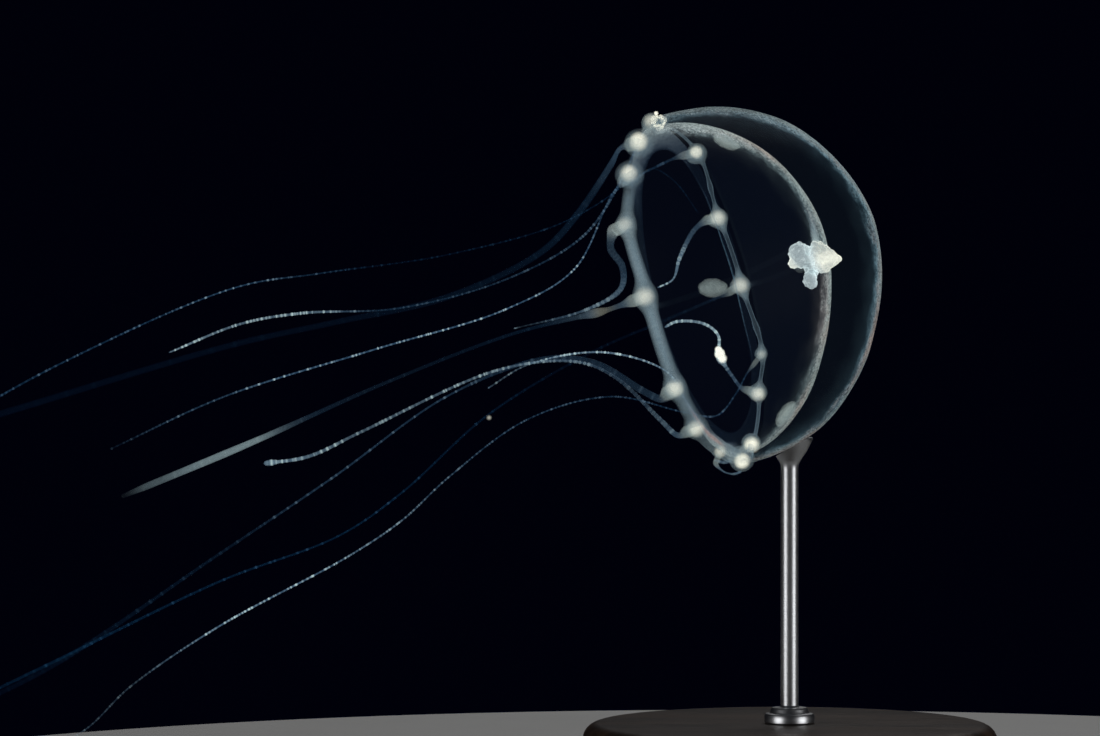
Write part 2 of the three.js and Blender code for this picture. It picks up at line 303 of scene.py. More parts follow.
# Heights in metres between which a look of the skin comes or goes. DIM_RISE, TOP_RISE and CREST_RISE
# bound painted light and shade: the band dimmer low down, brighter at the top and dimmer at the crest.
DIM_RISE = (0.0215, 0.0305)
BLUSH_RISE = (0.024, 0.0275)
BLUSH_END = (0.0305, 0.0315)
TOP_RISE = (0.0355, 0.038)
PATCH_END = (0.0365, 0.0385)
CREST_RISE = (0.038, 0.0392)


def clamp(value):
    return min(1, max(0, value))


def outer_radius(level):
    return BELL_RADIUS * (1 - (level / BELL_HEIGHT) ** BELL_CROWN) ** (1 / BELL_FLANK)


def outer_shift(level):
    return BELL_LEAN * level - BELL_SAG * math.sin(math.pi * level / BELL_HEIGHT)


def hollow_radius(level):
    free = HOLLOW_RADIUS * (1 - (level / HOLLOW_HEIGHT) ** HOLLOW_CROWN) ** (1 / HOLLOW_FLANK)
    return min(free, outer_radius(level) - RIM_WALL)


def hollow_shift(level):
    return HOLLOW_LEAN * level - HOLLOW_SAG * math.sin(math.pi * level / HOLLOW_HEIGHT)


def dome_rows(radius_at, shift_at, height):
    """Rows from the crown down to the rim, closer together at the crown."""
    low = math.asin(RIM_LEVEL / height)
    rows = [(0, height, shift_at(height))]
    for row in range(1, BELL_ROWS):
        level = height * math.sin(math.pi / 2 + (low - math.pi / 2) * row / BELL_ROWS)
        rows.append((radius_at(level), level, shift_at(level)))
    return rows


def waved(piece, strength, size):
    """Moves the surface in and out a little, in soft uneven waves."""
    clouds = bpy.data.textures.new(piece.name + "_waves", "CLOUDS")
    clouds.noise_scale = size
    clouds.noise_depth = 1
    waves = piece.modifiers.new("waves", "DISPLACE")
    waves.texture = clouds
    waves.texture_coords = "LOCAL"
    waves.strength = strength
    apply_modifiers(piece)


def mark(piece, **marks):
    """Writes what varies over the flesh as named values on the mesh's points."""
    points = piece.data.vertices
    for name, value in marks.items():
        layer = piece.data.attributes.new(name, "FLOAT", "POINT")
        each = [value(point.co) for point in points] if callable(value) else [value] * len(points)
        layer.data.foreach_set("value", each)


def joined(first, *others):
    deselect()
    for piece in (first, *others):
        piece.select_set(True)
    bpy.context.view_layer.objects.active = first
    bpy.ops.object.join()
    return first


outer_rows = dome_rows(outer_radius, outer_shift, BELL_HEIGHT)
rim_round = RIM_WALL / 2
rim_middle = outer_radius(RIM_LEVEL) - rim_round
for eighth in range(9):
    turn = eighth * math.pi / 8
    level = RIM_LEVEL - rim_round * math.sin(turn)
    outer_rows.append((rim_middle + rim_round * math.cos(turn), level, outer_shift(level)))
lining_rows = dome_rows(hollow_radius, hollow_shift, HOLLOW_HEIGHT)
lining_rows.append((rim_middle - rim_round, RIM_LEVEL, outer_shift(RIM_LEVEL)))
bell = turned("bell_skin", outer_rows, BELL_SIDES)
lining = turned("bell_lining", lining_rows, BELL_SIDES)


def limb_material(name, haze, colours, band, strength, glow, fringe, top_light, crest_fade, blush):
    """A clear skin with a faint haze, and a band of denser cloud where it is seen edge on.

    colours are those of the film, of the band's inner side, of its outer side and of the warm patches
    there. The band ends in a soft fringe and may blush at mid height. It is painted brighter and wider at
    the top, dimmer at the very crest and dimmer low down, as painted light and shade, and the skin
    glows in its own colour, which is painted light."""
    film, inner, pale, patch = colours
    material, shade = new_material(name)
    place = shade.place()
    height = shade.node("SeparateXYZ", {}, {"Vector": place}, out="Z")
    facing = shade.facing()
    wall = shade.marked("wall")
    ripple = shade.noise(place, 900, 2) - 0.5
    top = height.step(*TOP_RISE)
    crest = height.step(*CREST_RISE)
    low = height.step(*BLUSH_RISE) * (1 - height.step(*BLUSH_END))
    rough_facing = facing + ripple * 0.22 + top * top_light * TOP_GAIN
    edge = rough_facing.step(*band)
    streaks = shade.stretched(place, (1, 0.3, 1))
    grains = shade.noise(streaks, 6500, 3, 0.75).step(0.34, 0.7)
    clumps = shade.noise(place, 1300, 2).step(0.3, 0.7)
    patches = shade.noise(place, 210, 1).step(0.4, 0.6) * (1 - height.step(*PATCH_END))
    # Painted light and shade by height: the band brighter at the top and dimmer at the very crest.
    painted_light = 1 + top * top_light - crest * crest_fade
    dense = strength * (0.2 + grains) * (0.55 + clumps * 0.6) * painted_light
    soft_edge = rough_facing.step(0.5, 0.78)
    cloud = wall * (edge * dense + soft_edge * (0.4 + clumps) * fringe)
    outer_side = rough_facing.step(band[0] + 0.04, band[1] + 0.08)
    inner_side = (low * blush).tint(inner, BLUSH)
    colour = (wall * soft_edge).tint(film, outer_side.tint(inner_side, patches.tint(pale, patch)))
    # Alpha is lower low down, as painted shade, and the emission is a painted glow.
    shade.surface(
        Base_Color=colour,
        Roughness=0.35,
        Alpha=haze + cloud * (0.55 + height.step(*DIM_RISE) * 0.45),
        Emission_Color=colour,
        Emission_Strength=glow,
        Specular_IOR_Level=0.12,
    )
    return material


jelly_colours = (
    (0.034, 0.058, 0.082, 1), (0.16, 0.3, 0.38, 1), (0.33, 0.43, 0.45, 1), (0.5, 0.41, 0.37, 1)
)
lining_colours = (
    (0.001, 0.004, 0.045, 1), (0.3, 0.43, 0.46, 1), (0.5, 0.61, 0.6, 1), (0.62, 0.54, 0.48, 1)
)
jelly = limb_material("clear_jelly", 0.045, jelly_colours, (0.68, 0.82), 0.88, 0.35, 0.012, 0.1, 0.55, 0)
lining_jelly = limb_material(
    "lining_jelly", 0.03, lining_colours, (0.66, 0.82), 0.79, 0.4, 0.018, 0.25, 0.15, 0.5
)
bell.data.materials.append(jelly)
lining.data.materials.append(lining_jelly)
waved(bell, SKIN_WAVE, SKIN_WAVE_SIZE)
waved(lining, SKIN_WAVE, SKIN_WAVE_SIZE)
bell = joined(bell, lining)
bpy.ops.object.mode_set(mode="EDIT")
bpy.ops.mesh.select_all(action="SELECT")
bpy.ops.mesh.remove_doubles(threshold=RIM_GAP)
bpy.ops.mesh.normals_make_consistent(inside=False)
bpy.ops.object.mode_set(mode="OBJECT")
mark(bell, wall=lambda co: clamp((co.z - RIM_LEVEL - 0.05) / 0.4))
smooth(bell)
umbrella = [bell]

# ---------------------------------------------------------------- the velum
# A thin shelf of skin round the mouth of the bell, inside the ring, with a fine thickened free edge.
# It is misty at the top and the bottom, where it is drawn together, and widest at the back.

VELUM_OUTER = 9.5
VELUM_INNER = 8.15
VELUM_THICKNESS = 0.06
VELUM_SIDES = 144
VELUM_ROWS = 12
VELUM_BACK = 278
BACK_WIDENING = 0.85
HEM_WIDTH = 0.6
# Degrees round the mouth of the bell, from the top by way of the near side.
TOP_MIST = 10
BOTTOM_MIST = 158
BLUSH_AT = 150
BLUSH_RADIUS = 8.88

deselect()
bpy.ops.mesh.primitive_circle_add(vertices=VELUM_SIDES, radius=VELUM_OUTER, location=(0, 0, VELUM_LEVEL))
velum = bpy.context.object
velum.name = "velum_skin"
bpy.ops.object.transform_apply(location=True)
bpy.ops.object.mode_set(mode="EDIT")
bpy.ops.mesh.select_all(action="SELECT")
radius = VELUM_OUTER
for row in range(1, VELUM_ROWS + 1):
    radius_next = VELUM_OUTER + (VELUM_INNER - VELUM_OUTER) * row / VELUM_ROWS
    dip = -0.05 * math.cos(math.pi * row / VELUM_ROWS)
    bpy.ops.mesh.extrude_region_move(TRANSFORM_OT_translate={"value": (0, 0, dip)})
    share = radius_next / radius
    bpy.ops.transform.resize(value=(share, share, 1), center_override=(0, 0, 0))
    radius = radius_next
bpy.ops.mesh.select_all(action="SELECT")
bpy.ops.mesh.normals_make_consistent(inside=False)
bpy.ops.object.mode_set(mode="OBJECT")


def degrees_round(co):
    return math.degrees(math.atan2(co.y, co.x)) % 360


def fading(distance, width, power=2):
    """1 at no distance, fading to 0 past this width. A higher power gives a squarer shoulder."""
    return math.exp(-(distance / width) ** power)


def at_back(co):
    """1 at the back of the velum, fading to 0 at the sides."""
    return fading(degrees_round(co) - VELUM_BACK, 30, 4)


for point in velum.data.vertices:
    inwards = (VELUM_OUTER - point.co.xy.length) / (VELUM_OUTER - VELUM_INNER)
    point.co.xy *= 1 - BACK_WIDENING * inwards * at_back(point.co) / VELUM_INNER
waved(velum, 0.12, 2)
wall = velum.modifiers.new("wall", "SOLIDIFY")
wall.thickness = VELUM_THICKNESS
wall.offset = 0
apply_modifiers(velum)
smooth(velum, 50)


def velum_mist(co):
    """Up to 1 at the top and the bottom of the bell's mouth, where the velum is drawn together."""
    around = (degrees_round(co) + 180) % 360 - 180
    near_ring = clamp((co.xy.length - VELUM_INNER) / (VELUM_OUTER - VELUM_INNER))
    top = near_ring ** 0.7 * (1.35 - abs(around - TOP_MIST) / 36)
    bottom = clamp((near_ring - 0.35) * 6) * (1.5 - abs(around - BOTTOM_MIST) / 22)
    return max(0, top, bottom)


def velum_blush(co):
    """A brownish pink streak along the bottom, a little way in from the ring."""
    return fading(degrees_round(co) - BLUSH_AT, 16, 4) * fading(co.xy.length - BLUSH_RADIUS, 0.17)


def velum_hem(co):
    """1 on the free edge, faint all round and plain at the back."""
    edge = VELUM_INNER - BACK_WIDENING * at_back(co)
    inwards = clamp(1 - (co.xy.length - edge - HEM_WIDTH / 2) / HEM_WIDTH * 2)
    return inwards * (0.03 + 0.97 * at_back(co))


mark(velum, mist=velum_mist, blush=velum_blush, hem=velum_hem)
membrane, shade = new_material("velum_membrane")
place = shade.place()
mist, blush, hem = shade.marked("mist"), shade.marked("blush"), shade.marked("hem")
grains = shade.noise(place, 7000, 3, 0.7).step(0.32, 0.7)
hue = (mist * 0.8 + grains * 0.2).tint((0.06, 0.15, 0.3, 1), (0.42, 0.5, 0.5, 1))
colour = blush.tint(hem.tint(hue, (0.15, 0.3, 0.42, 1)), (0.5, 0.3, 0.26, 1))
# The membrane glows in its own colour, which is painted light.
shade.surface(
    Base_Color=colour,
    Roughness=0.4,
    Alpha=0.015 + mist * (0.18 + grains * 0.36) + hem * (0.1 + grains * 0.25) + blush * 0.35,
    Emission_Color=colour,
    Emission_Strength=0.35,
    Specular_IOR_Level=0.12,
)
velum.data.materials.append(membrane)
umbrella.append(velum)

# ---------------------------------------------------------------- the ring and its bulbs
# The ring canal is a clear hollow tube round the rim, milky where it is thick on the near side. It
# swells into sixteen bulbs, each a cloudy swelling round a dense warm-white kernel.

RING_RADIUS = 9.72
RING_LEVEL = 0.12
RING_THICK = 0.25
RING_STATIONS = 480
RING_SIDES = 16
BULB_CIRCLE = 9.83
BULBS = (   # degrees round the rim, size, how far out and up it stands, its kernel's size and light
    (0, 0.62, 0, 0, 0.5, 0.25), (24, 0.88, -0.29, 0.19, 0.62, 0.7), (43.5, 0.86, -0.1, 0.08, 0.58, 0.45),
    (64, 0.66, 0.1, -0.16, 0.5, 0.16), (88, 0.76, -0.08, 0.14, 0.64, 0.27),
    (119.6, 0.72, -0.07, 0.08, 0.58, 0.33), (138.2, 0.7, -0.11, 0.05, 0.56, 0.36),
    (161, 0.5, -0.42, 0, 0.42, 0.3), (178.8, 0.76, -0.05, 0.22, 0.53, 0.95),
    (201.6, 0.6, 0.03, -0.15, 0.55, 0.76),
    (228.2, 0.62, -0.03, -0.11, 0.52, 0.36), (243.7, 0.44, 0.11, 0.22, 0.34, 0.16),
    (268.7, 0.66, -0.1, -0.19, 0.58, 0.26), (293.7, 0.66, -0.15, -0.24, 0.58, 0.3),
    (321.2, 0.68, 0.15, 0.26, 0.45, 0.76), (352, 0.55, 0, 0, 0, 0),
)
BULB_MILK = 0.26
KERNEL_FORWARD = 0.35
# Degrees round the rim to the part that is nearest to the viewer, and to the milkiest part.
NEAREST = 75
MILKIEST = 160
RING_GIRTH = (   # degrees round the rim from the top by way of the near side, half thickness
    (0, 0.24), (24, 0.3), (64, 0.38), (100, 0.42), (140, 0.48), (165, 0.46), (185, 0.28), (203, 0.1),
    (232, 0.1), (243, 0.12), (249, 0.12), (253, 0.18), (257, 0.12), (290, 0.12), (302, 0.09),
    (306, 0.16), (310, 0.09), (341, 0.08), (352, 0.16), (360, 0.24),
)


def round_rim(radius, degrees, level=0.0):
    angle = math.radians(degrees)
    return Vector((radius * math.cos(angle), radius * math.sin(angle), level))


def graded(stops, place):
    """The value at a place, between the stops on either side of it."""
    for (start, low), (end, high) in zip(stops, stops[1:]):
        if place <= end:
            t = (place - start) / (end - start)
            return low + (high - low) * t * t * (3 - 2 * t)
    return stops[-1][1]


def nearness(co):
    """0 on the far side of the ring and 1 on the near side, where it is thick and milky."""
    around = math.atan2(co.y, co.x)
    return clamp((math.cos(around - math.radians(NEAREST)) + 0.55) / 1.1)


deselect()
bpy.ops.mesh.primitive_torus_add(
    major_segments=RING_STATIONS, minor_segments=RING_SIDES,
    major_radius=RING_RADIUS, minor_radius=RING_THICK, location=(0, 0, RING_LEVEL),
)
ring = bpy.context.object
ring.name = "ring_canal"
bpy.ops.object.transform_apply(location=True)
bulb_places = [round_rim(BULB_CIRCLE + out, degrees, up) for degrees, _, out, up, _, _ in BULBS]
bulb_sizes = [size for _, size, *_ in BULBS]
round_stops = [*BULBS, (360, *BULBS[0][1:])]
out_stops = [(degrees, out) for degrees, _, out, *_ in round_stops]
up_stops = [(degrees, up) for degrees, _, _, up, *_ in round_stops]


def nearest_bulb(co):
    """How far the nearest bulb's middle is, in its own radii, and which bulb it is."""
    return min(((co - place).length / size, number)
               for number, (place, size) in enumerate(zip(bulb_places, bulb_sizes)))


for point in ring.data.vertices:
    degrees = degrees_round(point.co)
    section = point.co - round_rim(RING_RADIUS, degrees, RING_LEVEL)
    out, up = graded(out_stops, degrees), graded(up_stops, degrees)
    middle = round_rim(RING_RADIUS + out, degrees, RING_LEVEL + up)
    gap, number = nearest_bulb(middle)
    swell = fading(gap, 0.85, 2.4)
    plain = graded(RING_GIRTH, degrees)
    girth = plain + (bulb_sizes[number] - plain) * swell
    point.co = middle + section * girth / RING_THICK - Vector((0, 0, RING_LEVEL * swell))


def ring_milk(co):
    gap, number = nearest_bulb(co)
    plain = 0.58 - 0.12 * nearness(co) + 0.14 * fading(degrees_round(co) - MILKIEST, 25, 4)
    return plain + (min(0.6, BULB_MILK / bulb_sizes[number] ** 2) - plain) * fading(gap, 1.3, 2.5)


def ring_soft(co):
    gap, _ = nearest_bulb(co)
    return max(nearness(co), fading(gap, 1.3, 4))


def bulb_warmth(co):
    gap, _ = nearest_bulb(co)
    return 0.3 * fading(gap, 0.7)


mark(ring, milk=ring_milk, soft=ring_soft, warm=bulb_warmth)


def flesh_material(name, dim, pale, warm_pale, grain, glow, focus=1.0):
    """Cloudy flesh, glowing a little in its own colour as painted light. The marks on its points say how
    milky, how soft-edged and how warm it is.
    """
    material, shade = new_material(name)
    place = shade.place()
    milk, soft, warm = shade.marked("milk"), shade.marked("soft"), shade.marked("warm")
    facing = shade.facing()
    hollow = 0.12 + (facing ** 1.8) * 0.95
    cloudy = (1 - facing) ** focus
    body = hollow * (1 - soft) + cloudy * 1.15 * soft
    grains = shade.noise(place, grain, 3, 0.65).step(0.28, 0.74)
    alpha = milk * body * (0.86 + grains * 0.2)
    bright = milk * (0.75 + grains * 0.3) * (0.55 + soft * 0.45)
    colour = warm.tint(bright.tint(dim, pale), warm_pale)
    # The emission is a painted glow.
    shade.surface(
        Base_Color=colour,
        Roughness=0.38,
        Alpha=alpha,
        Emission_Color=colour,
        Emission_Strength=glow,
        Specular_IOR_Level=0.3,
        Normal=shade.bump(grains, 0.3, 0.00004),
    )
    return material


tissue = flesh_material(
    "ring_tissue", (0.12, 0.25, 0.38, 1), (0.52, 0.63, 0.61, 1), (0.86, 0.84, 0.66, 1), 5200, 0.3, 2.0
)
ring.data.materials.append(tissue)
smooth(ring)
umbrella.append(ring)

ROSETTE_BULB = 15
ROSETTE_GRAINS = 9
ROSETTE_WIDTH = 0.3
GRAIN_SIZE = 0.12
SPARK_PLACE = (10.25, -1.05, 0.1)
KNOTS = (   # place from the bell's centre, as for the tentacles, half width and light
    ((1.52, 5.2, -3.2), 0.24, 1.5), ((1.6, 5.2, -3.45), 0.34, 2.2), ((1.74, 5.2, -3.72), 0.32, 1.2),
    ((-11.6, 5.4, -7.1), 0.18, 0.22),
)


def ball(name, sides, rows):
    """A round body of unit size, ready to be waved, stretched and set in its place."""
    deselect()
    bpy.ops.mesh.primitive_uv_sphere_add(segments=sides, ring_count=rows, radius=1)
    piece = bpy.context.object
    piece.name = name
    return piece


kernel = ball("bulb_kernels", 20, 12)
waved(kernel, 0.12, 0.6)
kernels = []


def add_kernel(spot, size, light, soft=1.0, warm=0.85):
    """A copy of the kernel with its own mesh, each turned another way."""
    copy = kernel.copy()
    copy.data = kernel.data.copy()
    mark(copy, milk=light, soft=soft, warm=warm)
    bpy.context.collection.objects.link(copy)
    number = len(kernels)
    turn = Matrix.Rotation(2.4 * number, 4, "X") @ Matrix.Rotation(1.3 * number, 4, "Z")
    copy.data.transform(Matrix.Translation(spot) @ turn @ Matrix.Scale(size, 4))
    kernels.append(copy)


to_front = umbrella_turn.to_3x3().inverted() @ Vector((0, -1, 0))
# Each kernel's light sets how dense and bright it is drawn: partly the kernel's own whiteness and partly
# painted light, set bulb by bulb, higher on bulbs that the bell shades.
for spot, (*_, size, light) in zip(bulb_places, BULBS):
    if light:
        add_kernel(spot + to_front * size * KERNEL_FORWARD, size, light)

# The bulb beside the topmost one is ripe: a rosette of bright grains round a dark middle.
up = Vector((1, 0, 0))
for number in range(ROSETTE_GRAINS):
    turn = 2 * math.pi * number / ROSETTE_GRAINS
    out = up * math.cos(turn) + up.cross(to_front) * math.sin(turn)
    spot = bulb_places[ROSETTE_BULB] + to_front * 0.4 + out * ROSETTE_WIDTH
    add_kernel(spot, GRAIN_SIZE * (0.8 + 0.4 * (number % 3)), 1.4, 0.5, 0.5)
add_kernel(Vector(SPARK_PLACE), GRAIN_SIZE, 1.4, 0.5, 0.5)

# A curled tentacle carries a big knot packed with stinging cells, as bright as the kernels, and a long
# one carries a small dull knot.
for spot, size, light in KNOTS:
    add_kernel(umbrella_turn.inverted() @ Vector(spot), size, light, warm=0.15)
bpy.data.objects.remove(kernel)
kernels = joined(kernels[0], *kernels[1:])
kernel_tissue = flesh_material(
    "kernel_tissue", (0.6, 0.6, 0.5, 1), (0.9, 0.9, 0.82, 1), (1, 0.97, 0.8, 1), 9000, 0.8, 4
)
kernels.data.materials.append(kernel_tissue)
smooth(kernels)
umbrella.append(kernels)

# ---------------------------------------------------------------- canals and gonads
# Four fine canals run from the ring up under the lining to the stomach. Each carries a gonad, an
# oval granular swelling, and the canal shows only faintly through the clear jelly.

CANAL_THICK = 0.15
CANAL_GAP = 0.05
CANAL_DEPTH = 0.37
CANAL_FOOT = 0.35
CANAL_HEAD = 7.7
CANAL_ROWS = 70
GONAD_FROM = 1.1
GONAD_HALF_LENGTH = 0.85
GONAD_HALF_WIDTH = 0.5
GONAD_HALF_DEPTH = 0.4
THROAT = Vector((0.1, 0, 7.4))
END_GAP = 0.0001
CANALS = (   # side of the bell, length of the white end at the stomach, place, turn and milk of the gonad
    (351, 1.5, 3.1, 0, 0.85), (92, 0.5, 2.9, -22, 0.55), (189, 0.5, 2.3, 0, 0.8), (268, 0.5, 4.6, 0, 0.3),
)


def under_lining(level, degrees, depth):
    """A point a little below the lining, at a level and a side of the bell."""
    angle = math.radians(degrees)
    small = 0.01
    run = hollow_radius(level + small) - hollow_radius(max(level - small, 0))
    slope = math.hypot(2 * small, run)
    radius = hollow_radius(level) - depth * 2 * small / slope
    height = level + depth * run / slope
    return Vector((radius * math.cos(angle) + hollow_shift(height), radius * math.sin(angle), height))


def distances(places):
    """How far along a line each of its places is."""
    along = [0.0]
    for start, end in zip(places, places[1:]):
        along.append(along[-1] + (end - start).length)
    return along


def tube(name, places, radii, rounds=2):
    """A closed tube with a round section through places, each with its own radius."""
    route = bpy.data.curves.new(name, "CURVE")
    route.dimensions = "3D"
    route.bevel_depth = 1
    route.bevel_resolution = rounds
    route.use_fill_caps = True
    spline = route.splines.new("POLY")
    spline.points.add(len(places) - 1)
    for point, place, radius in zip(spline.points, places, radii):
        point.co = (*place, 1)
        point.radius = radius
    piece = bpy.data.objects.new(name, route)
    bpy.context.collection.objects.link(piece)
    pick(piece)
    bpy.ops.object.convert(target="MESH")
    return bpy.context.object


def spread(piece, places, **marks):
    """Writes marks given for each place along a tube on its rings of points, and closes its ends."""
    sides = len(piece.data.vertices) // (len(places) + 2)
    for name, values in marks.items():
        layer = piece.data.attributes.new(name, "FLOAT", "POINT")
        rings = [values[-1], values[0], *values]
        layer.data.foreach_set("value", [value for value in rings for _ in range(sides)])
    pick(piece)
    bpy.ops.object.mode_set(mode="EDIT")
    bpy.ops.mesh.select_all(action="SELECT")
    bpy.ops.mesh.remove_doubles(threshold=END_GAP)
    bpy.ops.object.mode_set(mode="OBJECT")


canals = []
gonads = []
for degrees, white_end, gonad_at, gonad_turn, gonad_milk in CANALS:
    levels = [CANAL_FOOT + (CANAL_HEAD - CANAL_FOOT) * math.sin(math.pi / 2 * row / CANAL_ROWS)
              for row in range(CANAL_ROWS + 1)]
    places = [under_lining(level, degrees, CANAL_THICK + CANAL_GAP) for level in levels]
    places += [places[-1].lerp(THROAT, share) for share in (0.25, 0.5, 0.75, 1)]
    along = distances(places)
    reach = gonad_at + (under_lining(GONAD_FROM, degrees, CANAL_DEPTH) - places[0]).length
    ends = [0.25 * fading(distance, 0.22, 1) + fading((along[-1] - distance) / white_end, 1.4)
            for distance in along]
    radii = [CANAL_THICK * (1 + 0.8 * min(1, end)) for end in ends]
    canal = tube("canal", places, radii, 3)
    milk = [min(0.85, 0.01 + 0.84 * end) for end in ends]
    soft = [min(0.9, 0.3 + end) for end in ends]
    spread(canal, places, milk=milk, soft=soft, warm=[0.1] * len(places))
    canals.append(canal)

    spot = min(range(len(along)), key=lambda row: abs(along[row] - reach))
    tangent = (places[spot + 1] - places[spot - 1]).normalized()
    across = round_rim(1, degrees + 90)
    inward = tangent.cross(across).normalized()
    middle = under_lining(levels[spot], degrees, GONAD_HALF_DEPTH + 0.12)
    gonad = ball("gonad", 32, 20)
    waved(gonad, 0.22, 0.35)
    lie = Matrix((across, tangent, inward)).transposed().to_4x4()
    lie = lie @ Matrix.Rotation(math.radians(gonad_turn), 4, "Z")
    size = Matrix.Diagonal((GONAD_HALF_WIDTH, GONAD_HALF_LENGTH, GONAD_HALF_DEPTH, 1))
    gonad.data.transform(Matrix.Translation(middle) @ lie @ size)
    mark(gonad, milk=gonad_milk, soft=0.85, warm=0.12)
    gonads.append(gonad)

canals = joined(*canals)
canals.name = "radial_canals"
canals.data.materials.append(tissue)
gonads = joined(*gonads)
gonads.name = "gonads"
gonad_tissue = flesh_material(
    "gonad_tissue", (0.17, 0.26, 0.3, 1), (0.46, 0.56, 0.54, 1), (0.66, 0.64, 0.52, 1), 4200, 0.28, 1.7
)
gonads.data.materials.append(gonad_tissue)
for piece in (canals, gonads):
    smooth(piece)
    umbrella.append(piece)

# ---------------------------------------------------------------- stomach and lips
# A short stomach hangs from the crown of the hollow, where the four canals meet. Its throat opens
# between four soft folded lips of uneven size, thick and white against the clear bell.

STOMACH_ROWS = (   # radius, level, shift
    (0, 8.66, -0.32), (0.13, 8.56, -0.28), (0.36, 8.28, -0.17), (0.64, 7.96, -0.03), (0.86, 7.66, 0.08),
    (0.96, 7.42, 0.12), (0.76, 7.16, 0.1), (0.6, 6.97, 0.08), (0.56, 6.75, 0.08), (0, 6.5, 0.1),
)
LIPS = (   # place and half sizes
    ((0.46, 0.3, 6.5), (0.74, 0.72, 0.6)),
    ((-1.0, 0.15, 6.66), (0.5, 0.38, 0.38)),
    ((0.16, 0.4, 6.02), (0.36, 0.34, 0.28)),
    ((0.25, -0.75, 6.6), (0.5, 0.5, 0.45)),
    ((-0.4, -0.45, 6.75), (0.5, 0.46, 0.44)),
)
MOUTH_SIDES = 48
MOUTH_VOXEL = 0.06
RIDGE_LEVEL = 7.12
WARM_LIT_HOOK = Vector((0.1, 0.5, 5.95))

mouth = turned("stomach_and_lips", STOMACH_ROWS, MOUTH_SIDES)
lips = []
for at, size in LIPS:
    lip = ball("lip", 32, 20)
    lip.data.transform(Matrix.Translation(at) @ Matrix.Diagonal((*size, 1)))
    lips.append(lip)
mouth = joined(mouth, *lips)
melt = mouth.modifiers.new("melt", "REMESH")
melt.mode = "VOXEL"
melt.voxel_size = MOUTH_VOXEL
soften = mouth.modifiers.new("soften", "SMOOTH")
soften.factor = 0.6
soften.iterations = 4
apply_modifiers(mouth)
waved(mouth, 0.24, 0.32)
waved(mouth, 0.1, 0.12)


def in_hook(co):
    return fading((co - WARM_LIT_HOOK).length, 0.42)


def lip_light(co):
    """Painted light: bright along the throat's upper edge, down the middle of the stomach and on one lip's
    corner.
    """
    ridge = fading(co.z - RIDGE_LEVEL, 0.17)
    above = clamp((co.z - RIDGE_LEVEL) / 0.3) * (0.2 + 0.7 * fading(co.x + 0.12, 0.4))
    return min(1, 0.1 + 0.75 * ridge + above + in_hook(co))


def lip_warmth(co):
    """Warmer white on the stomach, above the throat, and on the same lip's corner."""
    return min(1, 0.75 * clamp((co.z - 7.2) / 0.5) + 0.8 * in_hook(co))


mark(mouth, light=lip_light, warm=lip_warmth)
lip_tissue, shade = new_material("lip_tissue")
place = shade.place()
light, warm = shade.marked("light"), shade.marked("warm")
facing = shade.facing()
grains = shade.noise(place, 6500, 3, 0.65).step(0.3, 0.72)
# Thin bright lines along the folds are painted highlights.
fold_highlights = 1 - shade.sum("ABSOLUTE", shade.noise(place, 1500, 3, 0.6) - 0.5).step(0.0, 0.045)
# shine is painted light and shade: the marked light, a brighter rim where the surface turns edge on, the
# fold highlights and the grains lift the colour from a painted shaded grey-blue to white.
shine = light * 0.8 + facing.step(0.35, 0.85) * 0.5 + fold_highlights * 0.3 + grains * 0.16
colour = shine.tint((0.26, 0.32, 0.345, 1), warm.tint((0.8, 0.92, 0.93, 1), (1, 0.97, 0.8, 1)))
# The lips also glow in their own colour, which is painted light.
shade.surface(
    Base_Color=colour,
    Roughness=0.35,
    Alpha=(0.86 + grains * 0.1) * (1 - (facing ** 5)),
    Emission_Color=colour,
    Emission_Strength=0.6,
    Specular_IOR_Level=0.3,
    Normal=shade.bump(grains, 0.3, 0.00004),
)
mouth.data.materials.append(lip_tissue)
smooth(mouth)
umbrella.append(mouth)

for piece in umbrella:
    piece.data.transform(umbrella_turn)

# ---------------------------------------------------------------- tentacles
# Each bulb bears one hollow tentacle that can stretch to a hair or shrink to a knobbly cord. Close
# rings of stinging cells stand on it as beads. Long ones trail far behind, short ones are curled up.

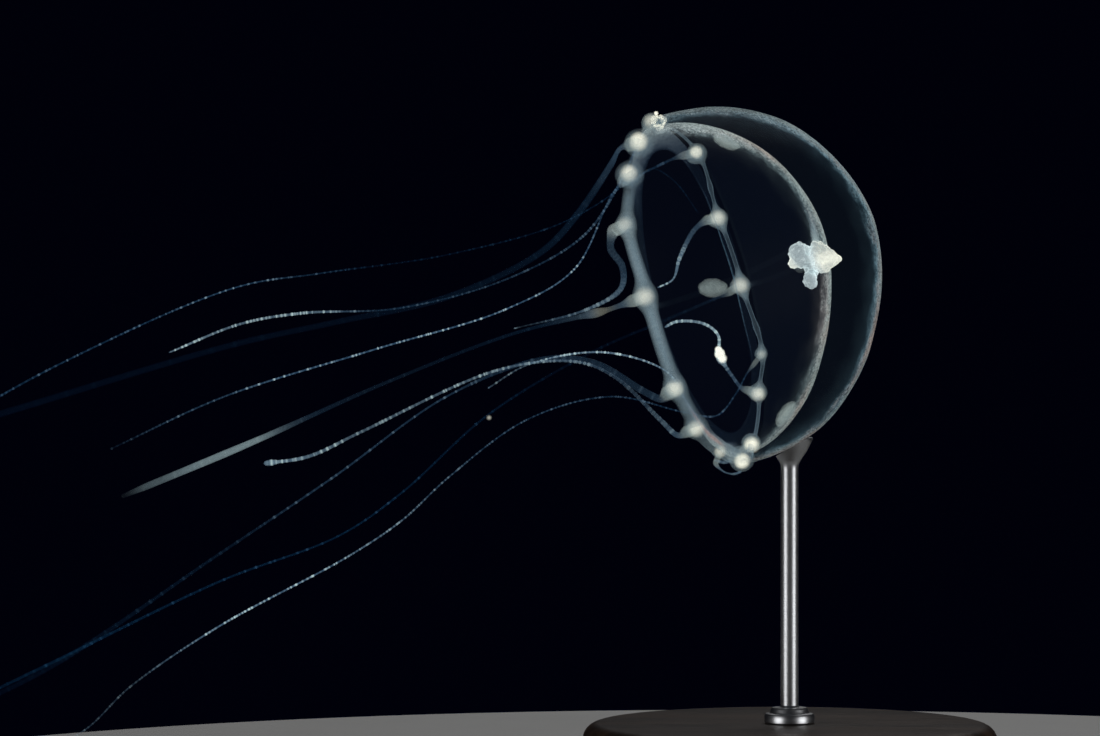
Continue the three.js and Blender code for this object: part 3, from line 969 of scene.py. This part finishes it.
TENTACLES = (   # bulb, route, how thick, how milky and how white from root to tip, beads' strength, gap
    (0, ((-3.2, 0.9, 8.2), (-4.2, 1, 6.1), (-6.2, 1.5, 3.2), (-10.4, 1.5, 0.8), (-16.5, 0.6, -0.9),
         (-22, 0, -1.2), (-25.4, 0, -1.8), (-29.4, 0, -3.4)),
     ((0, 0.07), (0.5, 0.045), (0.66, 0.05), (0.75, 0.07), (0.95, 0.062), (1, 0.04)),
     ((0, 0.4), (0.2, 0.26), (0.5, 0.2), (0.62, 0.22), (0.72, 0.62), (0.85, 0.6), (0.97, 0.72), (1, 0.65)),
     ((0, 0.4), (0.6, 0.35), (0.74, 0.9), (1, 1)), (0.8, 0.27)),
    (1, ((-4.3, -4.9, 7.7), (-4.8, -5.5, 6.8), (-6.6, -6.5, 4.1), (-8.6, -7, 2), (-13.6, -7, -0.4),
         (-19.8, -7, -1.8), (-25.3, -6.5, -3), (-36.8, -6, -6.4), (-43, -6, -8.3)),
     ((0, 0.15), (0.03, 0.13), (0.05, 0.18), (0.1, 0.2), (0.25, 0.18), (0.5, 0.17), (1, 0.2)),
     ((0, 0.6), (0.03, 0.5), (0.06, 0.34), (0.1, 0.2), (0.25, 0.11), (0.5, 0.075), (1, 0.075)),
     ((0, 0.8), (0.06, 0.6), (0.12, 0.3), (1, 0.12)), (0.5, 2.4)),
    (2, ((-4.3, -5.3, 5.7), (-3.3, -2.5, 6.2), (-2.4, 0.3, 6.9), (-1.7, 1.5, 6.7), (-0.8, 2.5, 6),
         (0.3, 3.2, 4.5)),
     ((0, 0.12), (0.25, 0.1), (0.45, 0.045), (1, 0.035)),
     ((0, 0.7), (0.1, 0.35), (0.3, 0.3), (0.48, 0.2), (0.6, 0.06), (0.75, 0.1), (1, 0.05)),
     ((0, 0.8), (0.45, 0.8), (0.6, 0.1), (1, 0)), (0.8, 0.3)),
    (3, ((-4.7, -8.6, 3.1), (-4.85, -8.1, 2.2), (-4.2, -7.2, 1.2), (-4.3, -6, 0), (-6.2, -4.7, -1.1),
         (-10.1, -4, -2.1)),
     ((0, 0.22), (0.25, 0.2), (0.42, 0.15), (0.5, 0.11), (0.7, 0.065), (1, 0.035)),
     ((0, 0.4), (0.1, 0.27), (0.25, 0.34), (0.4, 0.6), (0.5, 0.62), (0.75, 0.42), (0.88, 0.16),
      (0.97, 0.1), (1, 0.6)),
     ((0, 0.75), (0.3, 0.65), (0.5, 0.9), (0.8, 0.7), (1, 0.9)), (0.5, 0.34)),
    (4, ((-4.3, -9.6, -0.9), (-5.2, -9.7, -1.2), (-10, -9.4, -2.4), (-16.8, -8.8, -5),
         (-24, -8.4, -8.2), (-31.2, -8, -11.2)),
     ((0, 0.16), (0.045, 0.14), (0.075, 0.27), (0.11, 0.14), (0.2, 0.1), (0.45, 0.1), (0.62, 0.13),
      (0.7, 0.17), (0.8, 0.21), (0.94, 0.2), (1, 0.13)),
     ((0, 0.5), (0.045, 0.38), (0.075, 0.6), (0.11, 0.22), (0.2, 0.14), (0.35, 0.1), (0.55, 0.12),
      (0.66, 0.22), (0.74, 0.46), (0.84, 0.44), (0.93, 0.22), (1, 0.01)),
     ((0, 0.7), (0.08, 0.95), (0.2, 0.3), (0.6, 0.5), (0.75, 1.9), (1, 1.6)), (0.2, 1.5)),
    (5, ((-2.2, -9, -5.9), (-3.1, -9, -5.5), (-5.7, -8.5, -4), (-8.6, -7.7, -3.8),
         (-13.7, -6.5, -5.8), (-19.9, -5.5, -10.2), (-26.3, -4.5, -14.5), (-35.4, -4, -20.6),
         (-42, -4, -23.8)),
     ((0, 0.22), (0.12, 0.19), (0.2, 0.12), (0.28, 0.055), (0.5, 0.06), (0.65, 0.09), (0.8, 0.14),
      (1, 0.14)),
     ((0, 0.3), (0.05, 0.21), (0.15, 0.22), (0.22, 0.25), (0.3, 0.36), (0.45, 0.36), (0.6, 0.13),
      (1, 0.05)),
     ((0, 0.6), (0.2, 0.45), (0.3, 0.45), (0.45, 0.45), (0.7, 0.2), (1, 0.08)), (0.7, 0.8)),
    (6, ((-1.2, -7, -7.9), (-2.1, -6.6, -7.1), (-4.5, -4.4, -4.8), (-6.8, -2.5, -3.9),
         (-11.1, -1, -4.4), (-18.6, 0, -7.8), (-21.6, 0, -9.2), (-24.1, 0, -9.6)),
     ((0, 0.16), (0.15, 0.11), (0.3, 0.075), (0.6, 0.07), (0.8, 0.08), (0.93, 0.1), (0.968, 0.09),
      (0.985, 0.17), (1, 0.13)),
     ((0, 0.5), (0.1, 0.3), (0.17, 0.2), (0.24, 0.28), (0.3, 0.4), (0.38, 0.5), (0.8, 0.46), (1, 0.9)),
     ((0, 0.8), (0.25, 0.6), (0.45, 0.9), (1, 1)), (0.85, 0.34)),
    (7, ((1, -3.4, -9.5), (1.4, -3, -9.93), (2, -2.3, -10.12), (2.5, -1.6, -10)),
     ((0, 0.06), (0.5, 0.05), (0.9, 0.08), (1, 0.06)),
     ((0, 0.7), (0.5, 0.5), (1, 0.75)), ((0, 0.9), (1, 0.9)), (0.3, 0.4)),
    (8, ((1.5, -0.5, -8.9), (-0.7, -1.8, -5.9), (-1.6, -2, -4.5), (-5, -1.5, -3.4), (-9.4, 0.5, -4.1),
         (-11.6, 1, -5.4)),
     ((0, 0.09), (0.1, 0.05), (0.3, 0.045), (0.6, 0.052), (1, 0.042)),
     ((0, 0.4), (0.1, 0.12), (0.25, 0.3), (0.4, 0.95), (0.72, 0.9), (0.88, 0.3), (0.98, 0.2), (1, 0.7)),
     ((0, 0.6), (0.2, 0.3), (0.45, 0.8), (1, 0.8)), (0.85, 0.3)),
    (9, ((2.5, 3.8, -9.25), (1.9, 3.7, -9.6), (1.2, 3.4, -9.5)),
     ((0, 0.12), (0.8, 0.1), (1, 0.06)),
     ((0, 0.6), (0.5, 0.45), (1, 0.6)), ((0, 0.9), (1, 0.9)), (0.35, 0.4)),
    (10, ((2.9, 6.3, -5.4), (2.4, 6, -4.8), (1.6, 5.4, -3.5), (1.5, 5, -2.4), (0.7, 4.6, -1.75),
          (-0.9, 4, -1.62), (-1.6, 3.8, -1.95)),
     ((0, 0.12), (0.2, 0.1), (0.29, 0.11), (0.355, 0.28), (0.4, 0.28), (0.46, 0.085), (0.55, 0.08),
      (0.95, 0.08), (1, 0.07)),
     ((0, 0.45), (0.25, 0.5), (0.34, 1), (1, 0.95)),
     ((0, 0.55), (0.25, 0.6), (0.34, 1), (1, 0.95)), (0.6, 0.25)),
    (11, ((3.3, 8.4, -4.6), (2.6, 7.6, -5.8), (1.5, 7, -7), (-0.4, 6.3, -6.8), (-4.6, 5.6, -5.9),
          (-9.4, 5, -7.2), (-13.9, 5, -10.5), (-16.55, 5, -12.95), (-19.6, 5, -15), (-27, 4.5, -19),
          (-32, 4.2, -22.4), (-34.8, 4, -25), (-39.5, 4, -26.8)),
     ((0, 0.05), (0.3, 0.04), (0.5, 0.045), (0.66, 0.05), (1, 0.042)),
     ((0, 0.3), (0.2, 0.25), (0.35, 0.3), (0.45, 0.38), (0.54, 0.65), (0.62, 1), (0.71, 1), (0.77, 0.45),
      (0.82, 0.14), (0.9, 0.16), (1, 0.14)),
     ((0, 0.25), (0.3, 0.3), (0.5, 0.6), (1, 0.75)), (0.85, 0.3)),
    (12, ((2.2, 9.3, 0.1), (-1.7, 7.5, -1.6), (-5.6, 6.5, -3.3), (-11.6, 5.5, -6.9),
          (-16.6, 5, -11.4), (-20.1, 4.5, -13.8), (-26.9, 4, -16.4), (-36.4, 4, -21), (-42, 4, -23.7)),
     ((0, 0.1), (0.2, 0.08), (0.3, 0.07), (0.5, 0.06), (1, 0.1)),
     ((0, 0.2), (0.05, 0.09), (0.2, 0.06), (0.33, 0.18), (0.5, 0.32), (0.8, 0.32), (1, 0.18)),
     ((0, 0.3), (0.1, 0.12), (0.5, 0.08), (1, 0.02)), (0.6, 0.9)),
    (13, ((1, 8, 4.3), (0.3, 7.5, 3.8), (-0.7, 5.5, 2), (-1.1, 4.6, 0.8), (-2, 4, 0.3)),
     ((0, 0.16), (0.25, 0.15), (0.5, 0.13), (0.7, 0.09), (0.8, 0.055), (1, 0.04)),
     ((0, 0.55), (0.15, 0.45), (0.4, 0.6), (0.6, 1), (1, 1)),
     ((0, 0.8), (0.2, 0.65), (0.6, 0.9), (1, 0.9)), (0.6, 0.34)),
    (14, ((-0.9, 6, 7.8), (-2.9, 5, 6.8), (-4.3, 4.8, 6), (-6.7, 4.5, 1.4), (-10.6, 4.5, -0.9),
          (-18.1, 4.5, -3.2), (-26.7, 4.5, -5.9), (-33.2, 4.5, -8.9)),
     ((0, 0.08), (0.12, 0.055), (0.25, 0.045), (0.7, 0.052), (1, 0.05)),
     ((0, 0.35), (0.05, 0.25), (0.15, 0.2), (0.22, 0.75), (0.5, 0.92), (0.7, 0.82), (0.85, 0.35),
      (1, 0.05)),
     ((0, 0.4), (0.06, 0.15), (0.22, 0.45), (0.6, 0.5), (1, 0.4)), (0.85, 0.36)),
    (15, ((-3, 2.6, 8.9), (-3.5, 3.2, 6.7), (-6.9, 3, 4.2), (-13.7, 3, 2.2), (-21.1, 3, 1.1),
          (-25.9, 3, 0.3), (-35.8, 3, -4), (-43, 3, -8)),
     ((0, 0.06), (0.15, 0.045), (0.6, 0.045), (1, 0.06)),
     ((0, 0.25), (0.15, 0.12), (0.3, 0.1), (0.42, 0.08), (0.5, 0.3), (0.6, 0.6), (0.7, 0.4), (1, 0.28)),
     ((0, 0.2), (0.4, 0.1), (0.55, 0.4), (0.75, 0.25), (1, 0.2)), (0.9, 0.45)),
)
ROOT_REACH = 0.6
ROOT_FADE = 0.5
BROWN_ROOT = 4
BROWN_DISTANCE = 1.8
BEADED_THICKNESS = 0.09
BEAD_WIDTH = 0.062
BEAD_SWELL = 0.035
FIRST_BEAD = 1.2
THREAD_STEP = 0.065


def flowing(points):
    """Many places on one smooth curve through the points, as even and unhurried as the curve can be."""
    ends = [2 * points[0] - points[1], *points, 2 * points[-1] - points[-2]]
    places = []
    for a, b, c, d in zip(ends, ends[1:], ends[2:], ends[3:]):
        first, middle, last = ((q - p).length ** 0.5 for p, q in ((a, b), (b, c), (c, d)))
        leave = ((b - a) / first - (c - a) / (first + middle) + (c - b) / middle) * middle
        arrive = ((c - b) / middle - (d - b) / (middle + last) + (d - c) / last) * middle
        samples = max(4, round((c - b).length / 0.05))
        for sample in range(samples):
            t = sample / samples
            places.append(
                b * (2 * t ** 3 - 3 * t ** 2 + 1) + leave * (t ** 3 - 2 * t ** 2 + t)
                + c * (3 * t ** 2 - 2 * t ** 3) + arrive * (t ** 3 - t ** 2)
            )
    return [*places, points[-1]]


def evenly(places, step):
    """Places an even step apart along the same line, and the line's length."""
    along = distances(places)
    count = max(2, round(along[-1] / step))
    even = []
    row = 0
    for number in range(count + 1):
        distance = along[-1] * number / count
        while row < len(along) - 2 and along[row + 1] < distance:
            row += 1
        share = (distance - along[row]) / max(along[row + 1] - along[row], 1e-9)
        even.append(places[row].lerp(places[row + 1], min(1, share)))
    return even, along[-1]


threads = []
for bulb, way, thickness, milkiness, whiteness, (bead_strength, bead_gap) in TENTACLES:
    chance = random.Random(bulb)
    centre = umbrella_turn @ bulb_places[bulb]
    points = [Vector(point) for point in way]
    heading = (points[0] - centre).normalized()
    places, length = evenly(flowing([centre + heading * ROOT_REACH, *points]), THREAD_STEP)
    places = [centre + heading * 0.2, centre + heading * 0.4, *places]
    root = bulb_sizes[bulb] * (0.3 + 1.3 * thickness[0][1])
    root_shine = 0.18 + 2 * thickness[0][1]
    beads = []
    distance = FIRST_BEAD
    while distance < length:
        beads.append((distance, chance.uniform(0.2, 1) ** 1.5, chance.uniform(0.55, 1.25)))
        distance += bead_gap * chance.uniform(0.3, 1.1)
    radii, milk, white, warm = [], [], [], []
    at = 0
    for row in range(len(places)):
        distance = max(0, row - 2) / (len(places) - 3) * length
        share = distance / length
        while at < len(beads) - 1 and beads[at + 1][0] < distance:
            at += 1
        bead = 0
        for spot, strength, size in beads[at:at + 2]:
            bead = max(bead, strength * fading(distance - spot, BEAD_WIDTH * size))
        bead *= bead_strength * min(1, BEADED_THICKNESS / graded(thickness, share))
        flare = fading(distance, ROOT_FADE)
        radius = graded(thickness, share)
        radius += max(0, root - radius) * flare
        end = min(1, (1 - share) * length / radius)
        round_end = math.sqrt(max(0.02, end * (2 - end)))
        radii.append((radius + min(BEAD_SWELL, 0.5 * radius) * bead) * round_end)
        shine = graded(milkiness, share)
        shine += (root_shine - shine) * flare
        pale = graded(whiteness, share)
        pale += (0.9 - pale) * flare
        milk.append(min(1, shine * (0.17 + 0.18 * pale + 1.1 * bead + 0.25 * flare)))
        white.append(min(1, pale * (0.42 + 0.58 * bead) + 0.8 * bead * shine + 0.4 * flare))
        brown = 0.95 * fading(distance - BROWN_DISTANCE, 0.6) if bulb == BROWN_ROOT else 0
        warm.append(max(brown, 0.5 * flare))
    thread = tube("tentacle", places, radii, 1)
    spread(thread, places, milk=milk, white=white, warm=warm)
    threads.append(thread)

tentacles = joined(*threads)
tentacles.name = "tentacles"
thread_tissue, shade = new_material("thread_tissue")
place = shade.place()
milk, white, warm = shade.marked("milk"), shade.marked("white"), shade.marked("warm")
facing = shade.facing()
grains = shade.noise(place, 9000, 2, 0.6).step(0.3, 0.7)
hue = (white ** 1.5).tint((0.01, 0.1, 0.25, 1), (0.62, 0.8, 0.8, 1))
colour = warm.tint(hue, (0.42, 0.43, 0.35, 1))
# The threads glow in their own colour, which is painted light.
shade.surface(
    Base_Color=colour,
    Roughness=0.35,
    Alpha=milk * (0.75 + grains * 0.3) * (1 - (facing ** 3)),
    Emission_Color=colour,
    Emission_Strength=0.45,
    Specular_IOR_Level=0.3,
)
tentacles.data.materials.append(thread_tissue)
smooth(tentacles)

# ---------------------------------------------------------------- one skin
# All the flesh is one piece, as on the animal: bell, velum, ring, canals, stomach and tentacles pass
# into one another with no seam.

skin = joined(*umbrella, tentacles)
skin.name = "medusa_skin"
skin.data.name = "medusa_skin"
skin.data.transform(to_place)
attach(skin, "root")
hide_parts(*[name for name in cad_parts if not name.startswith("stand_")])

# ---------------------------------------------------------------- the stand's rod
# A thin steel rod in a stepped collar that screws to the base. It opens into a small cup, and the
# underside of the bell rests in the cup. It is turned in one piece and finely brushed round.

ROD_SIDES = 64
ROD_ROWS = (
    (0, 5.0), (1.3, 5.0), (1.4, 5.08), (1.4, 5.42), (1.32, 5.54), (1.12, 5.58), (1.07, 5.64),
    (1.05, 5.78), (0.96, 5.88), (0.56, 5.92), (0.5, 6.0), (0.5, 19.2), (0.53, 19.4), (0.62, 19.6),
    (0.95, 20.1), (1.22, 20.6), (1.3, 20.8), (1.3, 20.86), (1.24, 20.9), (0, 20.9),
)
SEAT_GAP = 1.012

rod = turned("turned_rod", [(radius, level, 0) for radius, level in ROD_ROWS], ROD_SIDES)
seat_rows = dome_rows(outer_radius, outer_shift, BELL_HEIGHT)
seat_rows += [(outer_radius(RIM_LEVEL), RIM_LEVEL, outer_shift(RIM_LEVEL)), (0, RIM_LEVEL, 0)]
seat = turned("seat", seat_rows, BELL_SIDES)
seat_place = Matrix.Translation(bell_centre / MM) @ umbrella_turn @ Matrix.Scale(SEAT_GAP, 4)
seat.data.transform(seat_place)
cut = rod.modifiers.new("seat", "BOOLEAN")
cut.object = seat
cut.operation = "DIFFERENCE"
cut.solver = "EXACT"
apply_modifiers(rod)
bpy.data.objects.remove(seat)
rod.data.transform(Matrix.Scale(MM, 4))
smooth(rod, 35)

steel, shade = new_material("brushed_steel")
place = shade.place()
rings = shade.noise(shade.stretched(place, (0.05, 0.05, 1)), 9000, 3, 0.6)
smudge = shade.noise(place, 500, 2)
shade.surface(
    Base_Color=smudge.tint((0.42, 0.43, 0.45, 1), (0.56, 0.57, 0.58, 1)),
    Metallic=1.0,
    Roughness=0.24 + rings * 0.2,
    Normal=shade.bump(rings, 0.2, 0.00003),
)
rod.data.materials.append(steel)
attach(rod, "root")
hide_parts("stand_rod")

# ---------------------------------------------------------------- the studio
# A round pale table top in a dark room, with a large soft lamp on each side in front and one behind
# and above, all weak enough that the table stays dim.

TABLE_RADIUS = 0.067
TABLE_DEPTH = 0.002
TABLE_EDGE = 0.0006
ROOM = (0.0003, 0.0004, 0.0026, 1)
LAMPS = (   # place, width, power
    ((-0.32, -0.22, 0.06), 0.24, 0.55),
    ((0.32, -0.20, 0.06), 0.24, 0.55),
    ((0.05, 0.22, 0.30), 0.20, 0.3),
)

deselect()
bpy.ops.mesh.primitive_cylinder_add(
    vertices=192, radius=TABLE_RADIUS, depth=TABLE_DEPTH, location=(0, 0, -TABLE_DEPTH / 2 - 0.00002)
)
table = bpy.context.object
table.name = "table_top"
bpy.ops.object.transform_apply(location=True)
rounding = table.modifiers.new("edge", "BEVEL")
rounding.width = TABLE_EDGE
rounding.segments = 4
apply_modifiers(table)
smooth(table, 40)
pale, shade = new_material("pale_table")
place = shade.place()
mottle = shade.noise(place, 120, 3)
shade.surface(
    Base_Color=mottle.tint((0.50, 0.50, 0.49, 1), (0.56, 0.56, 0.55, 1)),
    Roughness=0.7,
)
table.data.materials.append(pale)

for number, (spot, width, power) in enumerate(LAMPS):
    lamp_data = bpy.data.lights.new(f"lamp_{number}", "AREA")
    lamp_data.size = width
    lamp_data.energy = power
    lamp = bpy.data.objects.new(f"lamp_{number}", lamp_data)
    lamp.location = spot
    lamp.rotation_euler = (bell_centre - Vector(spot)).to_track_quat("-Z", "Y").to_euler()
    lamp.visible_camera = False
    bpy.context.collection.objects.link(lamp)

room = bpy.data.worlds.new("dark_room")
room.use_nodes = True
room.node_tree.nodes["Background"].inputs["Color"].default_value = ROOM
bpy.context.scene.world = room
bpy.context.scene.view_settings.view_transform = "Standard"
bpy.context.scene.cycles.transparent_max_bounces = 48
